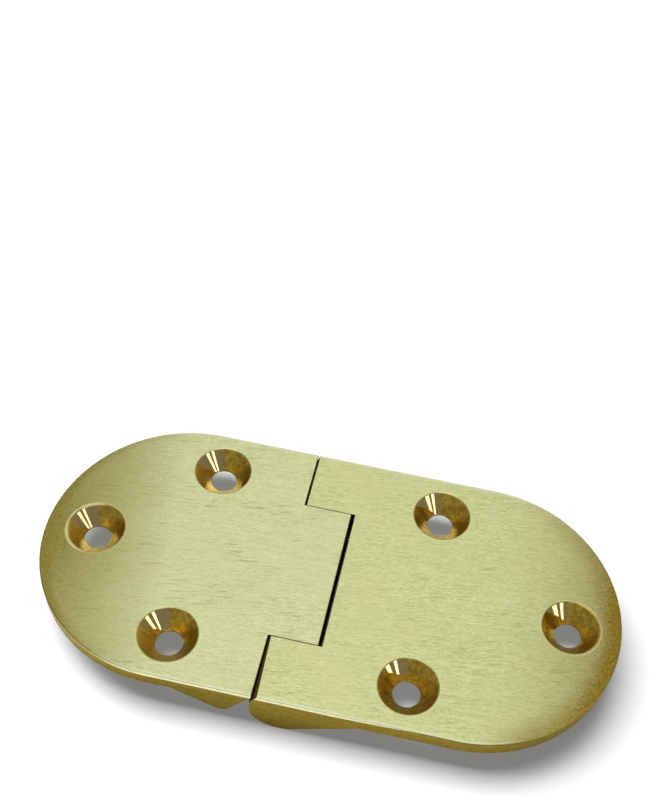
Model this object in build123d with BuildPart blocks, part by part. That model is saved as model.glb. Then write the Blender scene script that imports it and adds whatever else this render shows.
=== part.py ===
from build123d import *
from math import asin, cos, radians, sin, tan
import os

os.makedirs("parts", exist_ok=True)

# ---------------------------------------------------------------- dimensions
# Millimetres. The frame's origin is the centre of the box round the open hinge.
# +X runs along the hinge towards the round end of the ear leaf, +Y is along the
# hinge pin, +Z points out of the countersunk show faces.
# Depths are measured down from the show face.

length = 64.0            # over both round ends, hinge open flat
width = 31.5             # also twice the radius of the round ends
plate = 2.2              # thickness of the leaves away from the knuckle
knuckle_depth = 6.2      # show face to the lowest point of the ears
top_z = knuckle_depth / 2
crown_x = 21.0           # beyond this the show face falls away towards the round end
crown_radius = 200.0     # radius of that fall, seen from the side
crown_out = length / 2 + 1
crown_drop = crown_radius - (crown_radius**2 - (crown_out - crown_x) ** 2) ** 0.5

pin_x = -1.65            # pin axis, along X from the middle of the outline
pin_depth = 2.5          # pin axis below the show face
pin_radius = 1.4
running_gap = 0.05       # radial play of the tongue on the pin

# ears, on the +X leaf
slot_half = 8.55         # half the width of the slot between the ears
slot_end_x = 0.97        # show-face edge at the closed end of the slot
ear_end_x = -5.02        # flat end of the ears
ear_end_depth = 1.3      # depth at which that flat end starts to lean back
ear_top_x = -4.58        # end of the back ear in the show face
front_top_inner = -4.47  # end of the front ear in the show face, beside the slot
front_top_outer = -4.20  # and at the outer edge
ear_round = 3.05         # round of the ears under the pin
ear_round_x = ear_end_x + ear_round
ear_round_depth = knuckle_depth - ear_round
ramp_angle = radians(28.0)   # slope from the knuckle up to the plate
bevel_angle = radians(57.0)  # undercut below the show-face edges at the parting line
land = 0.2               # square land above that undercut
nose_round = 0.6         # blunt lower corner of the undercut, in the slot

# tongue, on the -X leaf
tongue_half = 8.45       # half the width of the tongue
tongue_end_x = 0.60      # end flat of the tongue
leaf_edge_x = -4.82      # show-face edge beside the tongue
leaf_ramp_x = -13.0      # where the plate starts to thicken
cam = tongue_end_x - pin_x   # both cam flats lie this far from the pin axis
cam_round = 1.3          # round between the two cam flats
heel_round = 1.2         # round of the heel beside the tongue

# screw holes
hole_radius = 1.5
sink_radius = 3.2
sink_angle = 82.0
end_hole_x = 26.5        # end holes of both leaves, on the centre line
ear_near_x = 10.6        # pair near the knuckle, ear leaf
tongue_near_x = -15.0    # pair near the knuckle, tongue leaf
near_y = 10.85

# detent spring and its rivets
spring_thick = 0.5
spring_width = 16.2      # nearly fills the slot between the ears
spring_gap = 0.02        # between the spring and the cam flat at rest
spring_tip_x = -4.4
spring_root_x = 15.2
spring_bend = 1.5
ramp_gap = 0.2           # between the spring and the ear leaf's ramp
rivet_x = 12.0
rivet_y = 4.5
rivet_radius = 0.8
rivet_head = 1.5
rivet_head_high = 0.8
rivet_depth = 1.3        # blind holes in the ear leaf, from its underside

# edges
show_edge = 0.16         # soft edge round the outline of the show face
under_edge = 0.2         # edge round the underside
parting_edge = 0.06      # broken edges along the parting line
rim_edge = 0.09          # broken edge of each countersink



def on_outline(e):
    # edges that lie on the flank, seen from above on the outline
    c = e.center()
    if e.geom_type == GeomType.LINE and abs(e.tangent_at(0).Z) > 0.99:
        return False
    p = [e.position_at(t) for t in (0.1, 0.5, 0.9)]
    reach = length / 2 - width / 2
    return all(
        abs((max(abs(q.X) - reach, 0) ** 2 + q.Y**2) ** 0.5 - width / 2) < 0.01
        for q in p
    )


def on_sink_rim(e):
    # upper edges of the countersinks
    p = [e.position_at(t) for t in (0.1, 0.5, 0.9)]
    if min(q.Z for q in p) < top_z - 0.3:
        return False
    for x, y in (
        (end_hole_x, 0),
        (ear_near_x, near_y),
        (ear_near_x, -near_y),
        (-end_hole_x, 0),
        (tongue_near_x, near_y),
        (tongue_near_x, -near_y),
    ):
        if all(
            abs(
                ((q.X - x) ** 2 + (q.Y - y) ** 2) ** 0.5
                - sink_radius
                + (top_z - q.Z) * tan(radians(sink_angle / 2))
            )
            < 0.01
            for q in p
        ):
            return True
    return False


# section plane along the hinge, its origin level with the show face
side = Plane(origin=(0, 0, top_z), x_dir=(1, 0, 0), z_dir=(0, -1, 0))
# show-face plane
show = Plane.XY.offset(top_z)

# the ears' ramp leaves their round at a tangent
tangent = (
    ear_round_x + ear_round * sin(ramp_angle),
    -ear_round_depth - ear_round * cos(ramp_angle),
)
ear_ramp_x = tangent[0] + (-plate - tangent[1]) / tan(ramp_angle)

# ---------------------------------------------------------------- ear leaf
with BuildPart() as ear_leaf:
    # side section: plate, ramp and the round under the pin
    with BuildSketch(side):
        with BuildLine():
            Polyline(
                tangent,
                (ear_ramp_x, -plate),
                (crown_out, -plate),
                (crown_out, -crown_drop),
            )
            TangentArc(
                (crown_x, 0), (crown_out, -crown_drop), tangent=(1, 0)
            )
            Polyline(
                (crown_x, 0),
                (ear_top_x, 0),
                (ear_end_x, -ear_end_depth),
                (ear_end_x, -ear_round_depth),
            )
            ThreePointArc(
                (ear_end_x, -ear_round_depth),
                (
                    ear_round_x - ear_round * sin(radians(31)),
                    -ear_round_depth - ear_round * cos(radians(31)),
                ),
                tangent,
            )
        make_face()
    extrude(amount=width / 2 + 1, both=True)

    # outline seen from above
    with BuildSketch(show):
        SlotOverall(length, width)
    extrude(amount=-knuckle_depth, mode=Mode.INTERSECT)

    # slot between the ears, its end undercut so that the tongue can turn past it
    with BuildSketch(side):
        with BuildLine():
            Polyline(
                (slot_end_x + parting_edge + 1, 1),
                (slot_end_x, -parting_edge),
                (slot_end_x, -land),
                (slot_end_x + (8 - land) / tan(bevel_angle), -8),
                (ear_end_x - 2, -8),
                (ear_end_x - 2, 1),
                close=True,
            )
        make_face()
    extrude(amount=slot_half, both=True, mode=Mode.SUBTRACT)

    # the front ear's end leans back further, more so towards the outer edge
    taper = (front_top_outer - front_top_inner) / (width / 2 - slot_half)
    for y in (-slot_half + 1, -width / 2 - 1):
        x_top = front_top_inner + taper * (-y - slot_half)
        with BuildSketch(
            Plane(origin=(0, y, top_z), x_dir=(1, 0, 0), z_dir=(0, -1, 0))
        ):
            with BuildLine():
                Polyline(
                    (ear_end_x, -ear_end_depth),
                    (x_top + 0.5 * (x_top - ear_end_x) / ear_end_depth, 0.5),
                    (ear_end_x - 1, 0.5),
                    (ear_end_x - 1, -ear_end_depth),
                    close=True,
                )
            make_face()
    loft(mode=Mode.SUBTRACT)

    # blunt lower corner of the undercut
    nose = (
        ear_leaf.edges()
        .filter_by(Axis.Y)
        .filter_by(
            lambda e: abs(e.center().Y) < 1
            and e.center().X < ear_ramp_x - 1
            and e.center().Z < top_z - plate - 0.5
        )
    )
    fillet(nose, nose_round)

    # soft edge round the show face, then the edge of the plate's underside
    rim = ear_leaf.edges().filter_by(on_outline)
    fillet(rim.filter_by(lambda e: e.center().Z > top_z - 0.6), show_edge)
    flank = ear_leaf.edges().filter_by(on_outline)
    fillet(
        flank.filter_by(lambda e: abs(e.center().Z - top_z + plate) < 0.01), under_edge
    )

    # pin bore through both ears
    with BuildSketch(side):
        with Locations((pin_x, -pin_depth)):
            Circle(pin_radius)
    extrude(amount=width / 2 + 1, both=True, mode=Mode.SUBTRACT)

    # countersunk screw holes
    with Locations(
        (ear_near_x, near_y, top_z),
        (ear_near_x, -near_y, top_z),
    ):
        CounterSinkHole(
            hole_radius, sink_radius, depth=plate + 1, counter_sink_angle=sink_angle
        )
    with Locations((end_hole_x, 0, top_z)):
        Hole(hole_radius, depth=plate + 1)
    with BuildSketch(
        Plane(origin=(end_hole_x, 0, top_z), x_dir=(1, 0, 0), z_dir=(0, -1, 0))
    ):
        with BuildLine():
            Polyline(
                (0, 0.2),
                (sink_radius + 0.2 * tan(radians(sink_angle / 2)), 0.2),
                (0, -sink_radius / tan(radians(sink_angle / 2))),
                close=True,
            )
        make_face()
    revolve(axis=Axis((end_hole_x, 0, 0), (0, 0, 1)), mode=Mode.SUBTRACT)
    chamfer(ear_leaf.edges().filter_by(on_sink_rim), rim_edge)

    # blind rivet holes from the underside
    with BuildSketch(Plane.XY.offset(top_z - plate)):
        with Locations((rivet_x, -rivet_y), (rivet_x, rivet_y)):
            Circle(rivet_radius)
    extrude(amount=rivet_depth, mode=Mode.SUBTRACT)

ear_leaf.part.label = "ear_leaf"

# ---------------------------------------------------------------- tongue leaf
# ramp and undercut meet in the heel
heel_x = (
    land - plate + tan(ramp_angle) * leaf_ramp_x + tan(bevel_angle) * leaf_edge_x
) / (tan(ramp_angle) + tan(bevel_angle))
heel_z = -plate - tan(ramp_angle) * (heel_x - leaf_ramp_x)
# the ramp runs on below the tongue until it is level with the lower cam flat
cam_depth = pin_depth + cam
tongue_ramp_x = leaf_ramp_x + (cam_depth - plate) / tan(ramp_angle)

with BuildPart() as tongue_leaf:
    # side section beside the tongue: plate, ramp, heel and undercut
    with BuildSketch(side) as beside:
        with BuildLine():
            Polyline(
                (-crown_x, 0),
                (leaf_edge_x - parting_edge, 0),
                (leaf_edge_x, -parting_edge),
                (leaf_edge_x, -land),
                (heel_x, heel_z),
                (leaf_ramp_x, -plate),
                (-crown_out, -plate),
                (-crown_out, -crown_drop),
            )
            TangentArc(
                (-crown_x, 0), (-crown_out, -crown_drop), tangent=(-1, 0)
            )
        make_face()
        fillet(beside.vertices().sort_by(Axis.Y)[0], heel_round)
    extrude(amount=width / 2 + 1, both=True)

    # outline seen from above
    with BuildSketch(show):
        SlotOverall(length, width)
    extrude(amount=-knuckle_depth, mode=Mode.INTERSECT)

    # edge of the plate's underside, then the soft edge round the show face
    flank = tongue_leaf.edges().filter_by(on_outline)
    fillet(
        flank.filter_by(lambda e: abs(e.center().Z - top_z + plate) < 0.01), under_edge
    )
    rim = tongue_leaf.edges().filter_by(on_outline)
    fillet(rim.filter_by(lambda e: e.center().Z > top_z - 0.6), show_edge)

    # tongue: a square cam round the pin, with two flats for the spring
    with BuildSketch(side) as tongue:
        with BuildLine():
            Polyline(
                (leaf_ramp_x, 0),
                (tongue_end_x, 0),
                (tongue_end_x, -cam_depth),
                (tongue_ramp_x, -cam_depth),
                (leaf_ramp_x, -plate),
                close=True,
            )
        make_face()
        fillet(tongue.vertices().sort_by(Axis.X)[-2:].sort_by(Axis.Y)[0], cam_round)
        fillet(tongue.vertices().group_by(Axis.Y)[-1].sort_by(Axis.X)[-1], 0.15)
    extrude(amount=tongue_half, both=True)

    # pin bore
    with BuildSketch(side):
        with Locations((pin_x, -pin_depth)):
            Circle(pin_radius + running_gap)
    extrude(amount=width / 2 + 1, both=True, mode=Mode.SUBTRACT)

    # countersunk screw holes
    with Locations(
        (-end_hole_x, 0, top_z),
        (tongue_near_x, near_y, top_z),
        (tongue_near_x, -near_y, top_z),
    ):
        CounterSinkHole(
            hole_radius, sink_radius, depth=plate + 1, counter_sink_angle=sink_angle
        )
    chamfer(tongue_leaf.edges().filter_by(on_sink_rim), rim_edge)

tongue_leaf.part.label = "tongue_leaf"

# ---------------------------------------------------------------- hinge pin
# pressed into both ears, its ends flush with their flanks
with BuildPart() as hinge_pin:
    with BuildSketch(side):
        with Locations((pin_x, -pin_depth)):
            Circle(pin_radius)
    extrude(amount=width / 2, both=True)

hinge_pin.part.label = "hinge_pin"

# ---------------------------------------------------------------- detent spring
# flat strip under the ear leaf: it lies on the plate, follows the ramp at a small
# distance and reaches under the tongue, where it bears on the lower cam flat
level = -cam_depth - spring_gap - spring_thick / 2
root_level = -plate - spring_thick / 2
drop = (ramp_gap + spring_thick / 2) / cos(ramp_angle)


def below_ramp(z):
    return tangent[0] + (z + drop - tangent[1]) / tan(ramp_angle)


with BuildPart() as detent_spring:
    with BuildLine(side):
        FilletPolyline(
            (spring_root_x, root_level),
            (below_ramp(root_level), root_level),
            (below_ramp(level), level),
            (spring_tip_x, level),
            radius=spring_bend,
        )
    with BuildSketch(
        Plane(
            origin=(spring_root_x, 0, top_z + root_level),
            x_dir=(0, 1, 0),
            z_dir=(-1, 0, 0),
        )
    ):
        Rectangle(spring_width, spring_thick)
    sweep()
    # rounded corners at both ends
    corners = (
        detent_spring.edges()
        .filter_by(Axis.Z)
        .filter_by(lambda e: abs(abs(e.center().Y) - spring_width / 2) < 0.01)
    )
    fillet(corners, 1.2)
    # rivet holes
    with BuildSketch(Plane.XY.offset(top_z - plate)):
        with Locations((rivet_x, -rivet_y), (rivet_x, rivet_y)):
            Circle(rivet_radius)
    extrude(amount=-spring_thick - 0.1, mode=Mode.SUBTRACT)

detent_spring.part.label = "detent_spring"
export_step(detent_spring.part, "parts/detent_spring.step")

# ---------------------------------------------------------------- rivets
# round heads under the spring, shanks in the blind holes of the ear leaf
shank_top = top_z - plate + rivet_depth
head_top = top_z - plate - spring_thick
head_rim = 0.15
cap_high = rivet_head_high - head_rim
cap_radius = (rivet_head**2 + cap_high**2) / (2 * cap_high)
cap_angle = asin(rivet_head / cap_radius)

with BuildPart() as spring_rivet_front:
    with BuildSketch(
        Plane(origin=(rivet_x, -rivet_y, 0), x_dir=(1, 0, 0), z_dir=(0, -1, 0))
    ):
        with BuildLine():
            Polyline(
                (0, head_top - rivet_head_high),
                (0, shank_top),
                (rivet_radius, shank_top),
                (rivet_radius, head_top),
                (rivet_head, head_top),
                (rivet_head, head_top - head_rim),
            )
            ThreePointArc(
                (rivet_head, head_top - head_rim),
                (
                    cap_radius * sin(cap_angle / 2),
                    head_top - rivet_head_high + cap_radius * (1 - cos(cap_angle / 2)),
                ),
                (0, head_top - rivet_head_high),
            )
        make_face()
    revolve(axis=Axis((rivet_x, -rivet_y, 0), (0, 0, 1)))

spring_rivet_front.part.label = "spring_rivet_front"

with BuildPart() as spring_rivet_back:
    add(spring_rivet_front.part.moved(Location((0, 2 * rivet_y, 0))))

spring_rivet_back.part.label = "spring_rivet_back"

# ---------------------------------------------------------------- files
export_step(ear_leaf.part, "parts/ear_leaf.step")
export_step(tongue_leaf.part, "parts/tongue_leaf.step")
export_step(hinge_pin.part, "parts/hinge_pin.step")
export_step(spring_rivet_front.part, "parts/spring_rivet_front.step")
export_step(spring_rivet_back.part, "parts/spring_rivet_back.step")
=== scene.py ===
from math import cos, radians, sin

import bpy
from mathutils import Matrix, Vector

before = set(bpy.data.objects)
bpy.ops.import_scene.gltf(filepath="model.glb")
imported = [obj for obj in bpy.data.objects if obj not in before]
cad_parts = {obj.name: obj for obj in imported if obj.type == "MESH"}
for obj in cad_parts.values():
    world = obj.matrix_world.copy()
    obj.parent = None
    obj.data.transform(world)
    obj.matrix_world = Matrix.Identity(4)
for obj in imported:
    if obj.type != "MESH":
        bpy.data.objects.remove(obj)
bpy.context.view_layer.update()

scene = bpy.context.scene
MM = 0.001

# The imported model's numbers that the materials are laid out by, in millimetres.
TOP = 3.1                    # show face
PLATE = 2.2
HALF_WIDTH = 15.75
REACH = 32.0 - HALF_WIDTH    # centres of the round ends
SINK = 3.2                   # radius of the countersinks
EAR_HOLES = ((26.5, 0.0), (10.6, 10.85), (10.6, -10.85))
TONGUE_HOLES = ((-26.5, 0.0), (-15.0, 10.85), (-15.0, -10.85))
CROWN_FROM, CROWN_RADIUS = 21.0, 200.0   # the show face falls away towards the ends


# ------------------------------------------------------------------ node helpers
class Graph:
    """Builds one material's nodes. Values are sockets or plain numbers."""

    def __init__(self, name):
        self.mat = bpy.data.materials.new(name)
        self.mat.use_nodes = True
        self.tree = self.mat.node_tree
        self.tree.nodes.clear()
        self.out = self.tree.nodes.new("ShaderNodeOutputMaterial")
        self.shader = self.tree.nodes.new("ShaderNodeBsdfPrincipled")
        self.tree.links.new(self.shader.outputs[0], self.out.inputs[0])

    def put(self, socket, value):
        if isinstance(value, bpy.types.NodeSocket):
            self.tree.links.new(value, socket)
        elif value is not None:
            socket.default_value = value

    def math(self, op, a, b=None, c=None, clamp=False):
        n = self.tree.nodes.new("ShaderNodeMath")
        n.operation = op
        n.use_clamp = clamp
        for socket, value in zip(n.inputs, (a, b, c)):
            self.put(socket, value)
        return n.outputs[0]

    def add(self, a, b):
        return self.math("ADD", a, b)

    def sub(self, a, b):
        return self.math("SUBTRACT", a, b)

    def mul(self, a, b):
        return self.math("MULTIPLY", a, b)

    def step(self, value, low, high, to_low=0.0, to_high=1.0):
        """Smooth step from to_low at low to to_high at high."""
        n = self.tree.nodes.new("ShaderNodeMapRange")
        n.interpolation_type = "SMOOTHSTEP"
        for name, v in (
            ("Value", value),
            ("From Min", low),
            ("From Max", high),
            ("To Min", to_low),
            ("To Max", to_high),
        ):
            self.put(n.inputs[name], v)
        return n.outputs["Result"]

    def mix(self, factor, a, b, blend="MIX"):
        n = self.tree.nodes.new("ShaderNodeMix")
        n.data_type = "RGBA"
        n.blend_type = blend
        n.clamp_factor = True
        self.put(n.inputs[0], factor)
        self.put(n.inputs[6], (*a, 1.0) if isinstance(a, tuple) else a)
        self.put(n.inputs[7], (*b, 1.0) if isinstance(b, tuple) else b)
        return n.outputs[2]

    def blend(self, factor, a, b):
        n = self.tree.nodes.new("ShaderNodeMix")
        n.data_type = "FLOAT"
        n.clamp_factor = True
        self.put(n.inputs[0], factor)
        self.put(n.inputs[2], a)
        self.put(n.inputs[3], b)
        return n.outputs[0]

    def places(self):
        """Object coordinates in millimetres, split, and the object's own normal, split."""
        tex = self.tree.nodes.new("ShaderNodeTexCoord")
        scale = self.tree.nodes.new("ShaderNodeVectorMath")
        scale.operation = "SCALE"
        scale.inputs["Scale"].default_value = 1 / MM
        self.tree.links.new(tex.outputs["Object"], scale.inputs[0])
        self.p = scale.outputs[0]
        split = self.tree.nodes.new("ShaderNodeSeparateXYZ")
        self.tree.links.new(self.p, split.inputs[0])
        self.x, self.y, self.z = split.outputs
        facing = self.tree.nodes.new("ShaderNodeSeparateXYZ")
        self.tree.links.new(tex.outputs["Normal"], facing.inputs[0])
        self.nx, self.ny, self.nz = facing.outputs

    def vector(self, x, y, z):
        n = self.tree.nodes.new("ShaderNodeCombineXYZ")
        for socket, value in zip(n.inputs, (x, y, z)):
            self.put(socket, value)
        return n.outputs[0]

    def noise(self, vector, scale, detail=2.0, rough=0.5, warp=0.0, out="Factor"):
        n = self.tree.nodes.new("ShaderNodeTexNoise")
        self.put(n.inputs["Vector"], vector)
        for name, v in (
            ("Scale", scale),
            ("Detail", detail),
            ("Roughness", rough),
            ("Distortion", warp),
        ):
            self.put(n.inputs[name], v)
        return n.outputs[0]

    def stretched(self, sx, sy, sz, turn=0.0, shift=(0.0, 0.0, 0.0)):
        """Millimetre coordinates times a scale on each axis, turned about Z first."""
        n = self.tree.nodes.new("ShaderNodeMapping")
        n.vector_type = "POINT"
        self.tree.links.new(self.p, n.inputs["Vector"])
        if turn:
            spin = self.tree.nodes.new("ShaderNodeVectorRotate")
            spin.rotation_type = "Z_AXIS"
            spin.inputs["Angle"].default_value = turn
            self.tree.links.new(self.p, spin.inputs["Vector"])
            self.tree.links.new(spin.outputs[0], n.inputs["Vector"])
        n.inputs["Scale"].default_value = (sx, sy, sz)
        n.inputs["Location"].default_value = shift
        return n.outputs[0]

    def bump(self, height, distance, strength=1.0, below=None):
        n = self.tree.nodes.new("ShaderNodeBump")
        self.put(n.inputs["Height"], height)
        n.inputs["Distance"].default_value = distance
        n.inputs["Strength"].default_value = strength
        if below is not None:
            self.tree.links.new(below, n.inputs["Normal"])
        return n.outputs[0]

    def finish(self, colour, roughness, normal=None, metallic=1.0, tint=(1, 1, 1)):
        s = self.shader
        self.put(s.inputs["Base Color"], (*colour, 1.0) if isinstance(colour, tuple) else colour)
        self.put(s.inputs["Roughness"], roughness)
        self.put(s.inputs["Metallic"], metallic)
        s.inputs["Specular IOR Level"].default_value = 0.15
        s.inputs["Specular Tint"].default_value = (*tint, 1.0)
        if normal is not None:
            self.tree.links.new(normal, s.inputs["Normal"])
        return self.mat


def distance_to_outline(g):
    """Millimetres in from the flank, seen from above."""
    past = g.math("MAXIMUM", g.sub(g.math("ABSOLUTE", g.x), REACH), 0.0)
    out = g.math("SQRT", g.add(g.mul(past, past), g.mul(g.y, g.y)))
    return g.sub(HALF_WIDTH, out)


def depth_below_face(g):
    """Millimetres below the show face, which falls away towards the round ends."""
    past = g.math("MAXIMUM", g.sub(g.math("ABSOLUTE", g.x), CROWN_FROM), 0.0)
    fall = g.mul(g.mul(past, past), 0.5 / CROWN_RADIUS)
    return g.sub(g.sub(TOP, fall), g.z)


def distance_to_hole(g, holes):
    """Millimetres from the axis of the nearest screw hole."""
    nearest = None
    for hx, hy in holes:
        dx, dy = g.sub(g.x, hx), g.sub(g.y, hy)
        r = g.math("SQRT", g.add(g.mul(dx, dx), g.mul(dy, dy)))
        nearest = r if nearest is None else g.math("MINIMUM", nearest, r)
    return nearest


def side_of_hole(g, holes, angle):
    """Cosine of the angle between a direction and the place in the nearest countersink."""
    total = None
    for hx, hy in holes:
        dx, dy = g.sub(g.x, hx), g.sub(g.y, hy)
        r = g.math("MAXIMUM", g.math("SQRT", g.add(g.mul(dx, dx), g.mul(dy, dy))), 0.1)
        here = g.math("LESS_THAN", r, SINK + 0.2)
        c = g.math("DIVIDE", g.add(g.mul(dx, cos(angle)), g.mul(dy, sin(angle))), r)
        c = g.mul(c, here)
        total = c if total is None else g.add(total, c)
    return total


# ------------------------------------------------------------------ materials
def ground_gold(g, offset, darkening=0.0):
    """Ground flanks: warm, a darker gold than the show face, partly the ground finish and partly painted shade, with
    grinding marks and small dark specks.
    """
    dirt = g.noise(g.stretched(1.6, 1.6, 1.6, 0.0, (offset, 5, 1)), 1.0, 4.0, 0.62)
    specks = g.step(g.noise(g.stretched(3.0, 3.0, 3.0, 0.0, (2, offset, 4)), 1.0, 1.5, 0.5), 0.66, 0.76)
    ground = g.noise(g.stretched(0.6, 0.6, 6.0, 0.0, (offset, 1, 8)), 1.0, 3.0, 0.6)
    gold = g.mix(g.step(dirt, 0.30, 0.72), (0.27, 0.200, 0.032), (0.185, 0.128, 0.014))
    gold = g.mix(g.step(ground, 0.35, 0.70, 0.0, 0.30), gold, (0.36, 0.28, 0.07))
    gold = g.mix(g.mul(specks, 0.60), gold, (0.09, 0.06, 0.010))
    gold = g.mix(darkening, gold, (0.150, 0.112, 0.012))
    rough = g.add(0.33, g.mul(g.sub(dirt, 0.5), 0.30))
    relief = g.mul(g.add(g.sub(dirt, 0.5), g.sub(ground, 0.5)), 0.9)
    return gold, rough, relief


def leaf_brass(name, holes, offset, turn, wear_and_light):
    """Satin brass: brushed along X on the show face, ground flanks, turned cones."""
    g = Graph(name)
    g.places()
    inside = distance_to_outline(g)
    deep = depth_below_face(g)
    r = distance_to_hole(g, holes)
    ax = g.math("ABSOLUTE", g.x)

    # where on the leaf
    shallow = g.step(deep, 0.10, 0.42, 1.0, 0.0)
    face = g.mul(g.step(g.nz, 0.70, 0.93), shallow)
    cone = g.mul(
        g.step(r, SINK - 0.03, SINK + 0.03, 1.0, 0.0),
        g.step(g.z, TOP - PLATE + 0.12, TOP - PLATE + 0.26),
    )
    # painted highlight: a pale ring round each countersink's rim, stronger round the end holes
    rim = g.mul(g.step(r, SINK - 0.06, SINK + 0.04), g.step(r, SINK + 0.08, SINK + 0.26, 1.0, 0.0))
    rim = g.mul(rim, shallow)
    outer_rim = g.mul(rim, g.step(ax, 26.0, 28.5))
    # walls of the parting line, painted dark as the shade in the gaps
    wall = g.math(
        "MAXIMUM", g.step(g.math("ABSOLUTE", g.ny), 0.35, 0.50, 1.0, 0.0), g.step(inside, 0.30, 0.50)
    )
    slot = g.mul(g.step(ax, 7.0, 7.6, 1.0, 0.0), g.step(g.nz, 0.80, 0.90, 1.0, 0.0))
    slot = g.mul(g.mul(slot, wall), g.step(g.z, -0.6, 0.4))
    # painted highlight: a pale line along the show face's outline
    edge = g.mul(g.step(inside, 0.10, 0.42, 1.0, 0.0), face)
    # the show face's pale colour and a painted highlight run over the front corner, all but at the ear leaf's round
    # end
    lip_highlight = g.step(g.sub(deep, g.step(g.x, 3.0, 13.0, 0.42, 0.0)), 0.0, 0.12, 1.0, 0.0)
    lip_highlight = g.mul(lip_highlight, g.step(inside, 0.25, 0.45, 1.0, 0.0))
    lip_highlight = g.mul(lip_highlight, g.mul(g.step(g.y, -12.5, -9.0, 1.0, 0.0), g.step(g.x, 10.0, 14.0, 1.0, 0.0)))

    # brush marks of several lengths on the show face, with light flecks and dark nicks
    long_marks = g.noise(g.stretched(0.16, 3.2, 1.0, turn, (offset, 0, 0)), 1.0, 3.0, 0.62, 0.35)
    marks = g.noise(g.stretched(1.25, 5.2, 1.0, turn, (0, offset, 0)), 1.0, 3.0, 0.62, 0.30)
    grit = g.noise(g.stretched(3.6, 5.4, 3.0, turn, (offset, 3, 0)), 1.0, 2.0, 0.60)
    flecks = g.step(g.noise(g.stretched(1.5, 4.6, 1.0, turn, (7, offset, 0)), 1.0, 1.0, 0.4), 0.66, 0.76)
    nicks = g.step(g.noise(g.stretched(0.55, 5.5, 1.0, turn - 0.10, (offset, 9, 0)), 1.0, 1.5, 0.45, 0.6), 0.68, 0.79)
    scratch = g.noise(g.stretched(0.42, 5.6, 1.0, turn - 0.14, (3, offset, 0)), 1.0, 1.0, 0.4, 0.8)
    scratch = g.mul(
        g.step(scratch, 0.60, 0.68),
        g.step(g.noise(g.stretched(0.15, 0.24, 1.0, 0.0, (offset, 6, 0)), 1.0, 1.0), 0.42, 0.60),
    )
    blotch = g.noise(g.stretched(0.55, 1.1, 1.0, turn, (offset, 0, 6)), 1.0, 2.0, 0.55)
    cloud = g.noise(g.stretched(0.11, 0.16, 0.2, 0.0, (offset, 2, 0)), 1.0, 2.0, 0.5)
    warmth = g.noise(g.stretched(0.20, 0.34, 0.2, 0.0, (5, offset, 0)), 1.0, 2.0, 0.5)
    grain = g.add(
        g.mul(g.sub(long_marks, 0.5), 0.8),
        g.add(g.mul(g.sub(marks, 0.5), 1.5), g.mul(g.sub(grit, 0.5), 0.9)),
    )

    # show face, darkening to gold towards the round ends: painted shade where the face falls away there
    pale = g.mix(g.step(grain, -0.55, 0.55), (0.490, 0.505, 0.200), (0.800, 0.850, 0.440))
    pale = g.mix(g.mul(flecks, 0.50), pale, (0.95, 0.98, 0.72))
    pale = g.mix(g.mul(nicks, 0.50), pale, (0.36, 0.34, 0.11))
    pale = g.mix(g.mul(scratch, wear_and_light["scratched"]), pale, (0.33, 0.33, 0.10))
    pale = g.mix(g.step(blotch, 0.50, 0.70, 0.0, 0.22), pale, (0.86, 0.90, 0.52))
    pale = g.mix(g.step(warmth, 0.42, 0.72, 0.0, 0.30), pale, (0.74, 0.70, 0.36))
    pale = g.mix(g.step(cloud, 0.35, 0.70, 0.0, 0.16), pale, (0.60, 0.60, 0.26))
    pale = g.mix(wear_and_light["lift"], pale, (0.90, 0.98, 0.75))
    # painted shade, speckled: it grows along each round end and in a band inside its outline
    along = g.math("MULTIPLY_ADD", g.y, wear_and_light["lean"], ax)
    along = g.mul(g.sub(along, wear_and_light["start"]), 1.0 / (wear_and_light["end"] - wear_and_light["start"]))
    along = g.math("POWER", g.math("MAXIMUM", along, 0.0), wear_and_light["power"])
    end_edge_shade = g.step(inside, 0.2, wear_and_light["wide"], 1.0, 0.0)
    end_edge_shade = g.mul(end_edge_shade, g.step(ax, wear_and_light["start"], wear_and_light["start"] + 6.0, 0.0, wear_and_light["end_edge_shade"]))
    end_edge_shade = g.mul(end_edge_shade, g.step(g.y, -9.0, 12.0, 1.0, wear_and_light["far"]))
    end_shade = g.mul(g.add(along, end_edge_shade), g.step(cloud, 0.25, 0.75, 0.92, 1.08))
    end_shade = g.mul(end_shade, g.add(1.0, g.mul(g.sub(grit, 0.5), 0.55)))
    pitted = g.noise(g.stretched(4.6, 4.6, 4.6, 0.0, (offset, 8, 2)), 1.0, 2.0, 0.55)
    end_shade_colour = g.mix(g.step(pitted, 0.36, 0.64), wear_and_light["deep"], wear_and_light["colour"])
    pale = g.mix(g.math("MINIMUM", end_shade, 1.0), pale, end_shade_colour)

    # flanks and everything below: a darker gold than the show face, partly the ground finish and partly painted shade
    # the plate's flank gets darker towards its lower edge and in random patches
    soil = g.noise(g.stretched(2.6, 2.6, 2.6, 0.0, (offset, 7, 3)), 1.0, 3.0, 0.6)
    low = g.mul(g.step(deep, 0.4, 1.9), g.step(ax, 8.0, 13.0, 0.25, 1.0))
    low = g.math("MULTIPLY_ADD", low, 0.65, g.step(soil, 0.42, 0.68, 0.0, 0.35))
    gold, rough_gold, relief_gold = ground_gold(g, offset, g.mul(low, wear_and_light["darkening"]))

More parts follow.
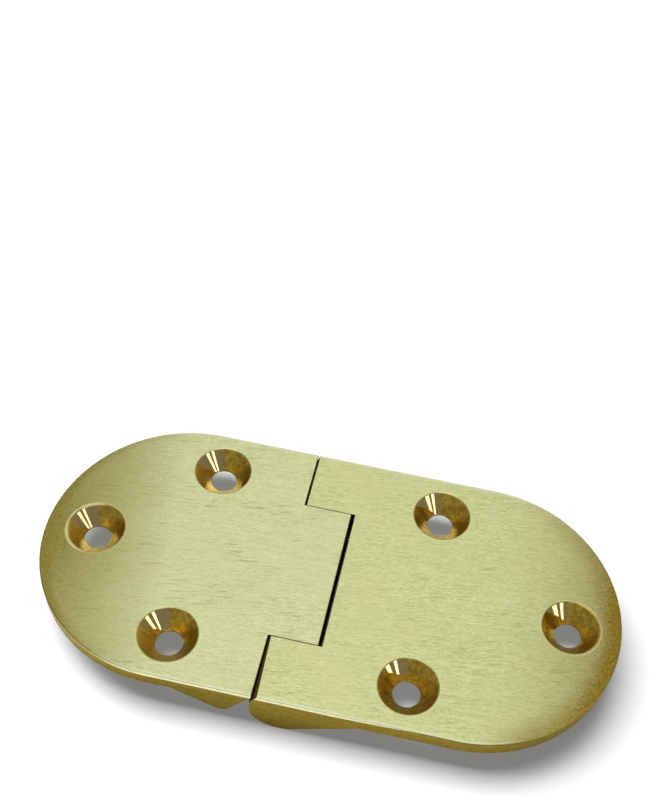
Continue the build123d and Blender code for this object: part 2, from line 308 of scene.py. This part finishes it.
    # cones: smoother, browner (the brown partly painted shade), with faint turning rings and a mottled tarnish
    mottle = g.noise(g.stretched(1.7, 1.7, 1.7, 0.0, (offset, 4, 4)), 1.0, 4.0, 0.68)
    stain = g.step(g.noise(g.stretched(0.9, 0.9, 0.9, 0.0, (1, offset, 9)), 1.0, 3.0, 0.6), 0.48, 0.66)
    rings = g.math("SINE", g.mul(r, 21.0))
    turned = g.mix(g.step(mottle, 0.36, 0.68), (0.60, 0.42, 0.070), (0.34, 0.22, 0.022))
    turned = g.mix(g.mul(stain, 0.55), turned, (0.30, 0.17, 0.014))
    turned = g.mix(g.step(rings, -1.0, 1.0, 0.0, 0.06), turned, (0.75, 0.52, 0.16))
    # painted sheen: one side of each countersink lighter gold, on the tongue leaf
    cone_sheen = g.step(side_of_hole(g, holes, radians(248)), 0.10, 0.85, 0.0, wear_and_light["cone_sheen"])
    turned = g.mix(cone_sheen, turned, (1.0, 0.74, 0.17))
    # they are burnished where the tool came out, and a little torn elsewhere
    burnished = g.step(side_of_hole(g, holes, radians(136)), 0.74, 0.93)
    turned = g.mix(g.mul(burnished, 0.85), turned, (0.42, 0.325, 0.150))

    # the show face and front corner take the pale colour, partly the brushing and partly a painted sheen; the rest
    # takes the darker gold
    colour = g.mix(g.math("MAXIMUM", face, lip_highlight), gold, pale)
    # painted highlight on the outline and over the front corner, held back where the round ends are painted darker
    painted_highlight = g.math("MAXIMUM", g.mul(edge, wear_and_light["edge"]), g.mul(lip_highlight, g.mul(g.sub(1.0, face), 0.60)))
    painted_highlight = g.mul(painted_highlight, g.math("MAXIMUM", g.sub(1.0, g.mul(end_shade, 1.5)), 0.0))
    colour = g.mix(painted_highlight, colour, (1.0, 0.99, 0.70))
    # painted shade in the parting gaps: near black, brown towards the front of the tongue leaf's gap
    gap_shade = g.mix(g.step(g.y, -8.7, -8.3, wear_and_light["front_gap_brown"], 0.0), (0.034, 0.021, 0.004), (0.210, 0.130, 0.020))
    colour = g.mix(slot, colour, gap_shade)
    colour = g.mix(cone, colour, turned)
    # painted highlights on the countersink rims
    colour = g.mix(g.mul(rim, 0.30), colour, (0.80, 0.72, 0.28))
    colour = g.mix(g.mul(outer_rim, wear_and_light["rim"]), colour, (0.98, 0.95, 0.62))

    rough_face = g.add(0.40, g.mul(grain, 0.16))
    rough_cone = g.blend(burnished, g.add(0.24, g.mul(g.step(mottle, 0.35, 0.75), 0.12)), 0.045)
    rough = g.blend(face, rough_gold, rough_face)
    soft = g.mul(g.mul(shallow, g.sub(1.0, face)), g.step(ax, 15.0, 18.0))
    rough = g.blend(soft, rough, 0.58)
    rough = g.blend(slot, rough, 0.85)
    rough = g.blend(cone, rough, rough_cone)
    rough = g.blend(g.mul(rim, 0.6), rough, 0.25)

    relief = g.blend(face, relief_gold, grain)
    relief = g.blend(cone, relief, g.mul(g.mul(rings, 0.03), g.sub(1.0, burnished)))
    normal = g.bump(relief, 0.0000065, 1.0)
    return g.finish(colour, rough, normal, g.sub(1.0, slot), (0.86, 0.77, 0.53))


def pin_brass(offset):
    """Turned along its length; its ends were ground off with the ears' flanks."""
    g = Graph("pin_brass_turned")
    g.places()
    gold, rough_gold, relief_gold = ground_gold(g, offset)
    marks = g.noise(g.stretched(0.8, 9.0, 0.8), 1.0, 3.0, 0.6)
    patches = g.noise(g.stretched(1.2, 1.2, 1.2, 0.0, (3, 1, 0)), 1.0, 4.0, 0.6)
    colour = g.mix(g.step(patches, 0.30, 0.72), (0.62, 0.47, 0.12), (0.42, 0.30, 0.06))
    colour = g.mix(g.step(marks, 0.4, 0.7, 0.0, 0.30), colour, (0.74, 0.60, 0.22))
    end = g.step(g.math("ABSOLUTE", g.y), HALF_WIDTH - 0.3, HALF_WIDTH - 0.2)
    rough = g.blend(end, g.add(0.27, g.mul(marks, 0.20)), rough_gold)
    relief = g.blend(end, g.mul(marks, 0.5), relief_gold)
    colour = g.mix(end, colour, gold)
    return g.finish(colour, rough, g.bump(relief, 0.0000065, 1.0), 1.0, (0.86, 0.77, 0.53))


def steel(name, along_x):
    g = Graph(name)
    g.places()
    if along_x:
        marks = g.noise(g.stretched(0.25, 9.0, 2.0), 1.0, 3.0, 0.6)
    else:
        marks = g.noise(g.stretched(4.0, 4.0, 4.0), 1.0, 3.0, 0.6)
    patches = g.noise(g.stretched(0.6, 0.6, 0.6, 0.0, (5, 2, 1)), 1.0, 4.0, 0.6)
    colour = g.mix(g.step(patches, 0.35, 0.75), (0.55, 0.55, 0.56), (0.36, 0.35, 0.35))
    colour = g.mix(g.step(marks, 0.40, 0.75, 0.0, 0.35), colour, (0.74, 0.74, 0.75))
    rough = g.add(0.26, g.mul(marks, 0.20))
    return g.finish(colour, rough, g.bump(marks, 0.000003, 1.0))


# how each leaf is marked and where light and shade are painted on it: the painted shade at its round end, painted
# highlights and sheen, gap shade and scratches
EAR_END = {
    "lean": 0.0, "start": 18.0, "end": 34.2, "power": 1.7,
    "wide": 3.2, "end_edge_shade": 0.52, "far": 0.45, "edge": 0.50, "colour": (0.42, 0.31, 0.045), "deep": (0.25, 0.17, 0.016),
    "rim": 0.22, "darkening": 0.30, "scratched": 0.45, "front_gap_brown": 0.0, "lift": 0.02, "cone_sheen": 0.0,
}
TONGUE_END = {
    "lean": -0.13, "start": 18.2, "end": 32.0, "power": 0.80,
    "wide": 1.3, "end_edge_shade": 0.25, "far": 0.75, "edge": 0.40, "colour": (0.40, 0.34, 0.080), "deep": (0.31, 0.26, 0.050),
    "rim": 0.55, "darkening": 1.0, "scratched": 0.75, "front_gap_brown": 1.0, "lift": 0.12, "cone_sheen": 0.85,
}
finishes = {
    "ear_leaf": leaf_brass("ear_leaf_satin", EAR_HOLES, 11.0, radians(-5.5), EAR_END),
    "tongue_leaf": leaf_brass("tongue_leaf_satin", TONGUE_HOLES, 47.0, radians(-3.0), TONGUE_END),
    "hinge_pin": pin_brass(11.0),
    "detent_spring": steel("spring_strip", True),
    "spring_rivet_front": steel("rivet_heads", False),
}
finishes["spring_rivet_back"] = finishes["spring_rivet_front"]
for name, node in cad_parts.items():
    for slot in node.material_slots:
        slot.material = finishes[name]


# ------------------------------------------------------------------ camera
def camera():
    """Stands where the photograph was taken from, in the model's frame."""
    azimuth, elevation, roll = radians(6.618), radians(55.250), radians(6.173)
    focal, centre_x, centre_y = 1147.2, 355.0, 500.0      # pixels of a 660 x 800 frame
    place = Vector((9.145, -63.451, 107.378 + TOP)) * MM
    back = Vector((
        sin(azimuth) * cos(elevation),
        -cos(azimuth) * cos(elevation),
        sin(elevation),
    ))
    right = (-back).cross(Vector((0, 0, 1))).normalized()
    down = (-back).cross(right)
    # roll about the line of sight
    turned_right = cos(roll) * right - sin(roll) * down
    turned_down = sin(roll) * right + cos(roll) * down
    data = bpy.data.cameras.new("camera")
    data.sensor_fit = "AUTO"
    data.sensor_width = 36.0
    data.lens = focal * 36.0 / 800
    data.shift_x = (330 - centre_x) / 800
    data.shift_y = (centre_y - 400) / 800
    data.clip_start, data.clip_end = 0.005, 20.0
    cam = bpy.data.objects.new("camera", data)
    turn = Matrix((turned_right, -turned_down, back)).transposed()
    cam.matrix_world = Matrix.Translation(place) @ turn.to_4x4()
    scene.collection.objects.link(cam)
    scene.camera = cam
    return cam


cam = camera()


# ------------------------------------------------------------------ floor and light
def floor():
    mesh = bpy.data.meshes.new("floor")
    size, level = 2.5, -TOP * MM - 0.00002
    mesh.from_pydata(
        [(-size, -size, level), (size, -size, level), (size, size, level), (-size, size, level)],
        [],
        [(0, 1, 2, 3)],
    )
    obj = bpy.data.objects.new("floor", mesh)
    scene.collection.objects.link(obj)
    mat = bpy.data.materials.new("floor_white")
    mat.use_nodes = True
    s = mat.node_tree.nodes["Principled BSDF"]
    s.inputs["Base Color"].default_value = (0.40, 0.40, 0.40, 1)
    s.inputs["Roughness"].default_value = 0.9
    s.inputs["Specular IOR Level"].default_value = 0.1
    s.inputs["Emission Color"].default_value = (1, 1, 1, 1)
    # far from the object the floor stays as pale as it is near it
    tree = mat.node_tree
    place = tree.nodes.new("ShaderNodeTexCoord")
    reach = tree.nodes.new("ShaderNodeVectorMath")
    reach.operation = "LENGTH"
    glow = tree.nodes.new("ShaderNodeMapRange")
    glow.interpolation_type = "SMOOTHSTEP"
    glow.inputs["From Min"].default_value = 0.15
    glow.inputs["From Max"].default_value = 0.60
    seen = tree.nodes.new("ShaderNodeLightPath")
    total = tree.nodes.new("ShaderNodeMath")
    total.operation = "MULTIPLY_ADD"
    total.inputs[2].default_value = 0.20
    tree.links.new(place.outputs["Object"], reach.inputs[0])
    tree.links.new(reach.outputs["Value"], glow.inputs["Value"])
    tree.links.new(glow.outputs["Result"], total.inputs[0])
    tree.links.new(seen.outputs["Is Camera Ray"], total.inputs[1])
    tree.links.new(total.outputs[0], s.inputs["Emission Strength"])
    # from below it is clear, so that the underside can be looked at
    side = tree.nodes.new("ShaderNodeNewGeometry")
    clear = tree.nodes.new("ShaderNodeBsdfTransparent")
    either = tree.nodes.new("ShaderNodeMixShader")
    tree.links.new(side.outputs["Backfacing"], either.inputs[0])
    tree.links.new(s.outputs[0], either.inputs[1])
    tree.links.new(clear.outputs[0], either.inputs[2])
    tree.links.new(either.outputs[0], tree.nodes["Material Output"].inputs[0])
    mesh.materials.append(mat)


def light(name, place, size, power, glossy=True, diffuse=True, colour=(1, 1, 1)):
    """An area light at a place in metres, looking at the object. Its width lies level."""
    data = bpy.data.lights.new(name, "AREA")
    data.shape = "RECTANGLE"
    data.size, data.size_y = size
    data.energy = power
    data.color = colour
    obj = bpy.data.objects.new(name, data)
    back = Vector(place).normalized()
    wide = Vector((1, 0, 0)) if abs(back.z) > 0.8 else Vector((0, 0, 1)).cross(back)
    wide = (wide - wide.dot(back) * back).normalized()
    turn = Matrix((wide, back.cross(wide), back)).transposed()
    obj.matrix_world = Matrix.Translation(place) @ turn.to_4x4()
    obj.visible_camera = False
    obj.visible_glossy = glossy
    obj.visible_diffuse = diffuse
    scene.collection.objects.link(obj)


floor()
# mirrored in the show faces
light("key", (-0.042, 0.300, 0.516), (0.44, 0.44), 0.405, diffuse=False)
# mirrored in the soft edge of the front
light("brow", (-0.036, -0.072, 0.594), (0.36, 0.36), 0.40, diffuse=False)
# two narrow upright lamps, mirrored as the light streaks in the cones
light("lamp_a", (0.1590, -0.1230, 0.079), (0.029, 0.092), 0.0475, diffuse=False, colour=(1.0, 0.98, 0.95))
light("lamp_b", (0.1330, -0.0390, 0.043), (0.027, 0.072), 0.0255, diffuse=False, colour=(1.0, 0.98, 0.95))
# lights the floor and throws the soft shadow, but isn't mirrored in the metal
light("shade", (-0.215, 0.110, 0.60), (0.54, 0.34), 12.1, glossy=False)


def studio():
    """Pale room: grey in the metal's reflections, white behind the floor."""
    world = bpy.data.worlds.new("studio")
    world.use_nodes = True
    world.cycles_visibility.diffuse = False
    tree = world.node_tree
    seen = tree.nodes.new("ShaderNodeLightPath")
    level = tree.nodes.new("ShaderNodeMapRange")
    level.inputs["To Min"].default_value = 0.42
    level.inputs["To Max"].default_value = 1.0
    tree.links.new(seen.outputs["Is Camera Ray"], level.inputs["Value"])
    tree.links.new(level.outputs[0], tree.nodes["Background"].inputs[1])
    tree.nodes["Background"].inputs[0].default_value = (1.0, 1.0, 1.0, 1.0)
    scene.world = world


studio()

scene.view_settings.view_transform = "Standard"
scene.view_settings.look = "None"
